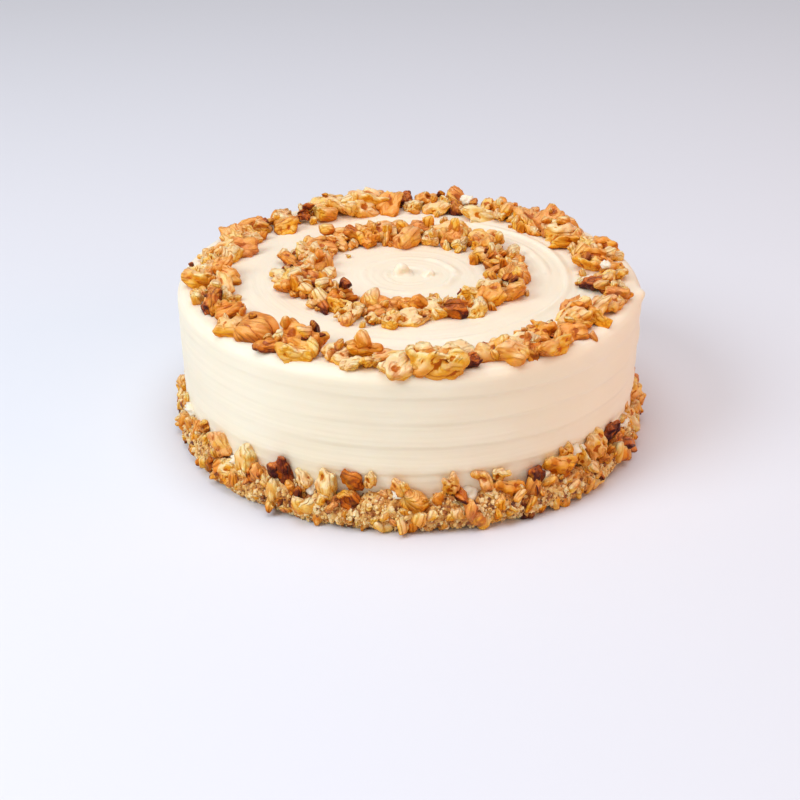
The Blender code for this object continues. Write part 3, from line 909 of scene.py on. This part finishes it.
def lay(tree, points, shelf, pick, turn, size):
    """Puts a shape from a shelf on every point: picked by its number, turned and sized."""
    shapes = place_node(
        tree, "GeometryNodeCollectionInfo", Collection=shelf, Separate_Children=True, Reset_Children=True
    )
    return place_node(
        tree,
        "GeometryNodeInstanceOnPoints",
        Points=points,
        Instance=shapes.outputs[0],
        Pick_Instance=True,
        Instance_Index=pick,
        Rotation=place_node(tree, "FunctionNodeEulerToRotation", Euler=turn).outputs[0],
        Scale=size,
    )


tree, given, result = new_tree(
    "heap of nuts",
    {"Shapes": "NodeSocketCollection", "Finish": "NodeSocketMaterial"},
)
kind_of, turn_of, size_of = (
    place_node(tree, "GeometryNodeInputNamedAttribute", {"data_type": kind}, Name=name).outputs[0]
    for name, kind in (("kind", "INT"), ("turn", "FLOAT_VECTOR"), ("size", "FLOAT_VECTOR"))
)
laid = lay(tree, given["Geometry"], given["Shapes"], kind_of, turn_of, size_of)
real = place_node(tree, "GeometryNodeRealizeInstances", Geometry=laid.outputs[0])
smooth = place_node(tree, "GeometryNodeSetShadeSmooth", Geometry=real.outputs[0])
# The upward share of each surface, stored so the kernel finish can paint shade on what faces down or aside
# and give it less shine.
faced = place_node(
    tree,
    "GeometryNodeStoreNamedAttribute",
    Geometry=smooth.outputs[0],
    Name="facing",
    Value=parts_of(tree, place_node(tree, "GeometryNodeInputNormal").outputs[0])[2],
)
end_tree(tree, faced.outputs[0], given["Finish"], result)
heap_of_nuts = tree

# The share of the nuts that are old and dark
OLD_SHARE = 0.06


def tone_of(draw, old_share, palest):
    """A piece's tone: mostly amber to pale, but some are old and dark."""
    return draw.uniform(0, 0.2) if draw.random() < old_share else draw.uniform(0.4, palest)


def looks_of(places, nuts, seed):
    """A shape and a tone for each piece. Those placed one by one have their own."""
    draw = random.Random(seed)
    kinds, tones = [nut.kind for nut in nuts], [nut.tone for nut in nuts]
    for _ in places[len(nuts) :]:
        kinds.append(draw.randrange(KERNEL_KINDS))
        tones.append(tone_of(draw, OLD_SHARE, 0.98))
    return kinds, tones


rings = []
for name, node, heap, seed in (
    ("rim_walnuts", "rim_nuts", RIM_HEAP, 3),
    ("inner_walnuts", "inner_nuts", INNER_HEAP, 4),
):
    places = heap_places(heap)
    mesh = points_of(name, places, *looks_of(places, heap.nuts, seed), PLUMPER)
    ring = grow(name, mesh, heap_of_nuts, Shapes=kernel_shelf, Finish=kernel)
    rings.append(ring)
    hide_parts(node)
    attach(ring, "root")

# ---------------------------------------------------------------------------------------------------
# Small broken bits of each heap. Most fell between the nuts, some came last and lie on them, and a few
# rolled off.

BIT_KINDS = 10
BIT_GRAIN = 0.15
BIT_SNAPS = (2, 3, 4)
BIT_BREADTHS = (0.6, 0.9)
BIT_HEIGHTS = (0.5, 0.8)
LEAST_BIT = 2.8 * MM
BIT_SPAN = 5.8 * MM
SMALL_BITS = 1.4
BIT_SPREAD = 0.75
FARTHEST_BIT = 1.7
BIT_RIDE = 3 * MM
LAST_SHARE = 0.45
DROP_FROM = Vector((0, 0, 50 * MM))
bit_meshes = [kernel_piece(seed, BIT_GRAIN, BIT_SNAPS) for seed in range(40, 40 + BIT_KINDS)]
bit_shelf = shelf_of("bits", bit_meshes)


def any_turn(draw):
    return Euler([draw.uniform(0, TURN) for _ in range(3)]).to_matrix().to_4x4()


def bit_looks(places, seed, old_share):
    draw = random.Random(seed)
    kinds = [draw.randrange(BIT_KINDS) for _ in places]
    return kinds, [tone_of(draw, old_share, 1) for _ in places]


def bit_places(heap, ring, count, seed):
    """Small bits lie low, right across the ring and a little beyond it, or on the nuts they landed on."""
    draw = random.Random(seed)
    corners = [vertex.co for vertex in ring.data.vertices]
    heaped = BVHTree.FromPolygons(corners, [face.vertices for face in ring.data.polygons])
    places = []
    for _ in range(count):
        angle = draw.uniform(0, TURN)
        length = LEAST_BIT + BIT_SPAN * draw.random() ** SMALL_BITS
        size = sides_of(draw, length, BIT_BREADTHS, BIT_HEIGHTS)
        turn = any_turn(draw)
        lane = max(-FARTHEST_BIT, min(FARTHEST_BIT, draw.gauss(0, BIT_SPREAD)))
        radius = lane_out(heap, angle, lane)
        ride = BIT_RIDE * draw.random() * max(0, 1 - lane * lane)
        level = TOP_HEIGHT + 0.25 * length + ride - droop(radius)
        centre = set_out(radius, angle, level, heap.x, heap.y)
        came_last = draw.random() < LAST_SHARE
        landed = heaped.ray_cast(centre + DROP_FROM, Vector((0, 0, -1)))[0]
        if landed and came_last:
            centre.z = landed.z + 0.15 * length
        places.append(Place(centre, size, turn))
    return places


for name, heap, ring, count, seed in (
    ("rim_bits", RIM_HEAP, rings[0], 190, 13),
    ("inner_bits", INNER_HEAP, rings[1], 240, 14),
):
    places = bit_places(heap, ring, count, seed)
    mesh = points_of(name, places, *bit_looks(places, seed, 0.12))
    bits = grow(name, mesh, heap_of_nuts, Shapes=bit_shelf, Finish=kernel)
    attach(bits, "root")

# ---------------------------------------------------------------------------------------------------
# The crust round the foot: finely chopped walnut pressed on to the icing by hand, with crumbs loose on
# its face, chips bedded in it and bigger broken pieces above.

CRUMB_KINDS = 6


def crumb_piece(seed):
    """A hard little crumb of a few dozen faces."""
    draw = random.Random(seed)
    shape = bmesh.new()
    bmesh.ops.create_uvsphere(shape, u_segments=6, v_segments=4, radius=0.5)
    sides = Vector((1, draw.uniform(0.6, 0.95), draw.uniform(0.45, 0.8)))
    for vertex in shape.verts:
        lump = noise.noise(vertex.co * 3.5 + Vector((seed * 5, 0, 0)))
        vertex.co = vertex.co * sides * (1 + 0.9 * lump)
    return mesh_of(shape, "crumb")


def crumb_finish(tree, shader):
    """Chopped nut: tan to cream insides with specks of brown skin."""
    where = place_node(tree, "ShaderNodeTexCoord").outputs["Object"]
    # A loose crumb's tone differs at random. On the bed, the tone is painted shade in the hollows and painted
    # light on the bumps.
    tone = attribute_of(tree, "tone")
    specks = mottle(tree, where, 700, 3, 0.7)
    colour = ramp(
        tree,
        tone * 1.15 + (specks - 0.5) * 0.9 + 0.04,
        (0.0, (0.08, 0.018, 0.006)),
        (0.15, (0.3, 0.08, 0.01)),
        (0.34, (0.62, 0.25, 0.03)),
        (0.55, (0.78, 0.46, 0.13)),
        (0.78, (0.85, 0.56, 0.2)),
        (1.0, (0.9, 0.69, 0.35)),
    )
    fill(
        tree,
        shader,
        Base_Color=colour,
        Roughness=0.5,
        Subsurface_Weight=0.15,
        Subsurface_Radius=(1.0, 0.5, 0.15),
        Subsurface_Scale=1 * MM,
    )


crumb = finish_with("crumb", crumb_finish)
crumb_shelf = shelf_of("crumbs", [crumb_piece(seed) for seed in range(CRUMB_KINDS)])

CRUST_COLUMNS = 801
CRUST_ROWS = 29
FRONT_DIP = 0.06
CRUST_UNEVEN = 0.28
CRUST_BUMPS = 3.5 * MM
BARE_INSIDE = 1.5 * MM
MOST_PICKS = 999
CRUST_MEASURES = (
    "Wall radius",
    "Thickness",
    "Crust height",
    "Crumbs per square metre",
    "Least crumb",
    "Greatest crumb",
)
tree, given, result = new_tree(
    "nut crust",
    dict.fromkeys(CRUST_MEASURES, "NodeSocketFloat")
    | {
        "Crumbs": "NodeSocketCollection",
        "Seed": "NodeSocketInt",
        "Finish": "NodeSocketMaterial",
        "Loose crumbs only": "NodeSocketBool",
    },
)
wall_radius, thickness, crust_height, density, least, greatest = (
    Worked(tree, given[label]) for label in CRUST_MEASURES
)
sheet = place_node(
    tree, "GeometryNodeMeshGrid", Size_X=1, Size_Y=1, Vertices_X=CRUST_COLUMNS, Vertices_Y=CRUST_ROWS
)
share_round, share_up, _ = parts_of(tree, sheet.outputs["UV Map"])
angle = share_round * TURN
turned = share_up * TURN
front = (angle.sin() * -1).eased(*BULGE_TURNS)
tall = crust_height * (1 - FRONT_DIP * front) * (1 + CRUST_UNEVEN * ripple(tree, angle, 7, 3))
thickness = thickness + FRONT_BULGE * front - PRESSED_IN * (1 - front)
radius = wall_radius + thickness * turned.cos()
height = (tall * 0.5 + tall * 0.5 * turned.sin()).least(0)
bumps = mottle(tree, around(tree, radius, angle, height), 320, 3, 0.6)
radius = radius + (bumps - 0.5) * CRUST_BUMPS * turned.cos().least(0)
ring = place_node(
    tree,
    "GeometryNodeSetPosition",
    Geometry=sheet.outputs["Mesh"],
    Position=around(tree, radius, angle, height),
)
bed = place_node(tree, "GeometryNodeMergeByDistance", Geometry=ring.outputs[0], Distance=0.01 * MM)
spot_x, spot_y, _ = parts_of(tree, place_node(tree, "GeometryNodeInputPosition").outputs[0])
reach = (spot_x * spot_x + spot_y * spot_y).math("SQRT")
strewn = place_node(
    tree,
    "GeometryNodeDistributePointsOnFaces",
    Mesh=bed.outputs[0],
    Selection=reach.math("GREATER_THAN", wall_radius + BARE_INSIDE),
    Density=density,
    Seed=given["Seed"],
)
pick = place_node(tree, "FunctionNodeRandomValue", {"data_type": "INT"}, Seed=given["Seed"])
feed(tree, pick.inputs[4], 0)
feed(tree, pick.inputs[5], MOST_PICKS)
tumble = place_node(tree, "FunctionNodeRandomValue", {"data_type": "FLOAT_VECTOR"}, Seed=given["Seed"])
feed(tree, tumble.inputs[1], (TURN, TURN, TURN))
chance = Worked(tree, place_node(tree, "FunctionNodeRandomValue", Seed=given["Seed"]).outputs[1])
crumb_size = least + (greatest - least) * (chance * chance)
sides = vector_of(tree, crumb_size, crumb_size, crumb_size)
laid = lay(tree, strewn.outputs[0], given["Crumbs"], pick.outputs[2], tumble.outputs[0], sides)
shade = place_node(tree, "FunctionNodeRandomValue", Seed=5)
toned = place_node(
    tree,
    "GeometryNodeStoreNamedAttribute",
    {"domain": "INSTANCE"},
    Geometry=laid.outputs[0],
    Name="tone",
    Value=shade.outputs[1],
)
# Painted shade and painted light: the bed's tone is darker in the hollows of its bumps and paler on the
# raised ones.
bed_hollow_shade = place_node(
    tree,
    "GeometryNodeStoreNamedAttribute",
    Geometry=bed.outputs[0],
    Name="tone",
    Value=(bumps - 0.5) * 2 + 0.3,
)
which = place_node(
    tree,
    "GeometryNodeSwitch",
    Switch=given["Loose crumbs only"],
    False_=bed_hollow_shade.outputs[0],
    True_=toned.outputs[0],
)
end_tree(tree, which.outputs[0], given["Finish"], result)

FLOOR_GAP = 0.1 * MM


def stood_on_floor(piece):
    """Flattens what would reach below the floor."""
    for vertex in piece.data.vertices:
        vertex.co.z = max(vertex.co.z, FLOOR_GAP)


for name, loose in (("crust_bed", False), ("crust_crumbs", True)):
    crust = grow(
        name,
        bpy.data.meshes.new(name),
        tree,
        Wall_radius=FOOT_RADIUS,
        Thickness=5 * MM,
        Crust_height=15 * MM,
        Crumbs=crumb_shelf,
        Crumbs_per_square_metre=420000.0,
        Least_crumb=1.1 * MM,
        Greatest_crumb=3.6 * MM,
        Seed=7,
        Finish=crumb,
        Loose_crumbs_only=loose,
    )
    stood_on_floor(crust)
    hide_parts("base_nuts")
    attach(crust, "root")

# Chips: how long they are and where they lie. Their layer stands out most at one level, and not at all
# so far above or below it, and long ones are pressed in further.
CHIP_HEIGHTS = (0.4, 0.7)
LEAST_CHIP = 3.4 * MM
CHIP_SPAN = 7 * MM
LOWEST_CHIP = 2 * MM
CHIP_RISE = 13 * MM
FULLEST_LEVEL = 7.5 * MM
FULLNESS_ENDS = 11 * MM
CHIP_STAND = 6 * MM
CHIP_PRESSED = 0.18


def chip_places(count, seed):
    """Chips of nut as long as a fingernail is wide, bedded in the crumbs from the floor up."""
    draw = random.Random(seed)
    places = []
    for number in range(count):
        angle = TURN * (number + draw.random()) / count
        length = LEAST_CHIP + CHIP_SPAN * draw.random() ** SMALL_PIECES
        size = sides_of(draw, length, BIT_BREADTHS, CHIP_HEIGHTS)
        turn = any_turn(draw)
        level = LOWEST_CHIP + CHIP_RISE * draw.random()
        tuck = ((level - FULLEST_LEVEL) / FULLNESS_ENDS) ** 2
        stand = (crust_stand(angle, 0) + CHIP_STAND) * (1 - tuck)
        radius = wall_at(level) + stand - CHIP_PRESSED * length
        places.append(Place(set_out(radius, angle, level), size, turn))
    return places


nuts, chips = heap_places(BASE_HEAP), chip_places(260, 31)
for name, places, looks, shelf, plumper in (
    ("base_walnuts", nuts, looks_of(nuts, BASE_NUTS, 9), kernel_shelf, BASE_PLUMPER),
    ("crust_chips", chips, bit_looks(chips, 32, 0.05), bit_shelf, 1.0),
):
    mesh = points_of(name, places, *looks, plumper)
    crust = grow(name, mesh, heap_of_nuts, Shapes=shelf, Finish=kernel)
    stood_on_floor(crust)
    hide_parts("base_nuts")
    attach(crust, "root")

# ---------------------------------------------------------------------------------------------------
# Dabs of icing squeezed out between the nuts as they were pressed on to the foot of the wall, and two
# small smears left on the nuts of the rim.

# Each dab: where round the cake in degrees, and how high up, how wide and how high in millimetres
Dab = namedtuple("Dab", "angle level wide high")
DABS = [
    Dab(angle, level * MM, wide * MM, high * MM)
    for angle, level, wide, high in (
        (200, 19, 8, 5),
        (216, 10, 10, 6),
        (225, 14, 7, 5),
        (247, 13, 7, 5),
        (268, 16, 8, 5),
        (283.5, 13, 8, 8),
        (302.5, 16, 6, 5),
        (312, 21, 9, 5),
        (335, 17, 8, 5),
        (20, 18, 9, 6),
        (75, 16, 8, 6),
        (118, 19, 9, 5),
        (160, 15, 8, 6),
    )
]
DAB_STAND = 3.4 * MM

Smear = namedtuple("Smear", "angle out level wide high")
SMEARS = (
    Smear(356, 86 * MM, 75 * MM, 4.5 * MM, 3.5 * MM),
    Smear(71, 88 * MM, 73 * MM, 6 * MM, 5 * MM),
)

shape = bmesh.new()
for number, dab in enumerate(DABS):
    lump = bmesh.ops.create_icosphere(shape, subdivisions=3, radius=1)
    angle = math.radians(dab.angle)
    for vertex in lump["verts"]:
        vertex.co *= 1 + 0.6 * noise.noise(vertex.co * 1.9 + Vector((number * 4, 0, 0)))
        out, aside, up = vertex.co
        radius = wall_at(dab.level) + out * DAB_STAND
        spot = angle + aside * dab.wide / 2 / WALL_RADIUS
        vertex.co = set_out(radius, spot, dab.level + up * dab.high / 2)
for number, smear in enumerate(SMEARS):
    lump = bmesh.ops.create_icosphere(shape, subdivisions=3, radius=0.5)
    angle = math.radians(smear.angle)
    middle = set_out(smear.out, angle, smear.level)
    for vertex in lump["verts"]:
        vertex.co *= 1 + 0.6 * noise.noise(vertex.co * 3.8 + Vector((number * 4, 9, 0)))
        vertex.co = middle + vertex.co * Vector((smear.wide, smear.wide, smear.high))
dabs = smooth_piece(shape, "icing_dabs", icing)
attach(dabs, "root")

# ---------------------------------------------------------------------------------------------------
# The studio: a plain pale floor, soft cool light from the left and from above, a warm glow from the
# right and a fainter one from the front, and a camera above the front.


def floor_finish(tree, shader):
    fill(tree, shader, Base_Color=(0.77, 0.79, 0.805, 1), Roughness=0.9)


shape = bmesh.new()
bmesh.ops.create_grid(shape, x_segments=1, y_segments=1, size=3)
floor = smooth_piece(shape, "floor", finish_with("floor", floor_finish))

world = bpy.data.worlds.new("studio")
bpy.context.scene.world = world
world.use_nodes = True
fill(world.node_tree, world.node_tree.nodes["Background"], Color=(1.0, 0.96, 0.98, 1), Strength=0.38)

# Each light: its place, how wide it is, its power and its colour
LIGHTS_AIM = Vector((0, 0, 0.03))
for name, place, size, power, colour in (
    ("window", (-1.0, -0.6, 1.0), 0.8, 13.4, (0.8, 0.88, 1.0)),
    ("ceiling", (0.0, -0.15, 1.6), 1.4, 13.1, (0.88, 0.88, 1.0)),
    ("front", (0.2, -1.5, 0.35), 1.0, 1.3, (1.0, 0.84, 0.5)),
    ("bounce", (1.3, -0.3, 0.4), 0.9, 5.0, (1.0, 0.38, 0.17)),
):
    lamp = bpy.data.lights.new(name, "AREA")
    lamp.shape = "DISK"
    lamp.size = size
    lamp.energy = power
    lamp.color = colour
    holder = placed(name, lamp)
    holder.location = place
    holder.rotation_euler = (LIGHTS_AIM - Vector(place)).to_track_quat("-Z", "Y").to_euler()

CAMERA_AIM = Vector((-4.08 * MM, 0, 5.5 * MM))
CAMERA_AWAY = 714 * MM
CAMERA_PITCH = math.radians(27.15)
camera = placed("camera", bpy.data.cameras.new("camera"))
sight = Vector((0, -math.cos(CAMERA_PITCH), math.sin(CAMERA_PITCH)))
camera.location = CAMERA_AIM + CAMERA_AWAY * sight
camera.rotation_euler = (math.pi / 2 - CAMERA_PITCH, 0, 0)
camera.data.sensor_width = 36
camera.data.lens = 69.66
camera.data.clip_start = 0.05
bpy.context.scene.camera = camera
bpy.context.scene.view_settings.view_transform = "Standard"
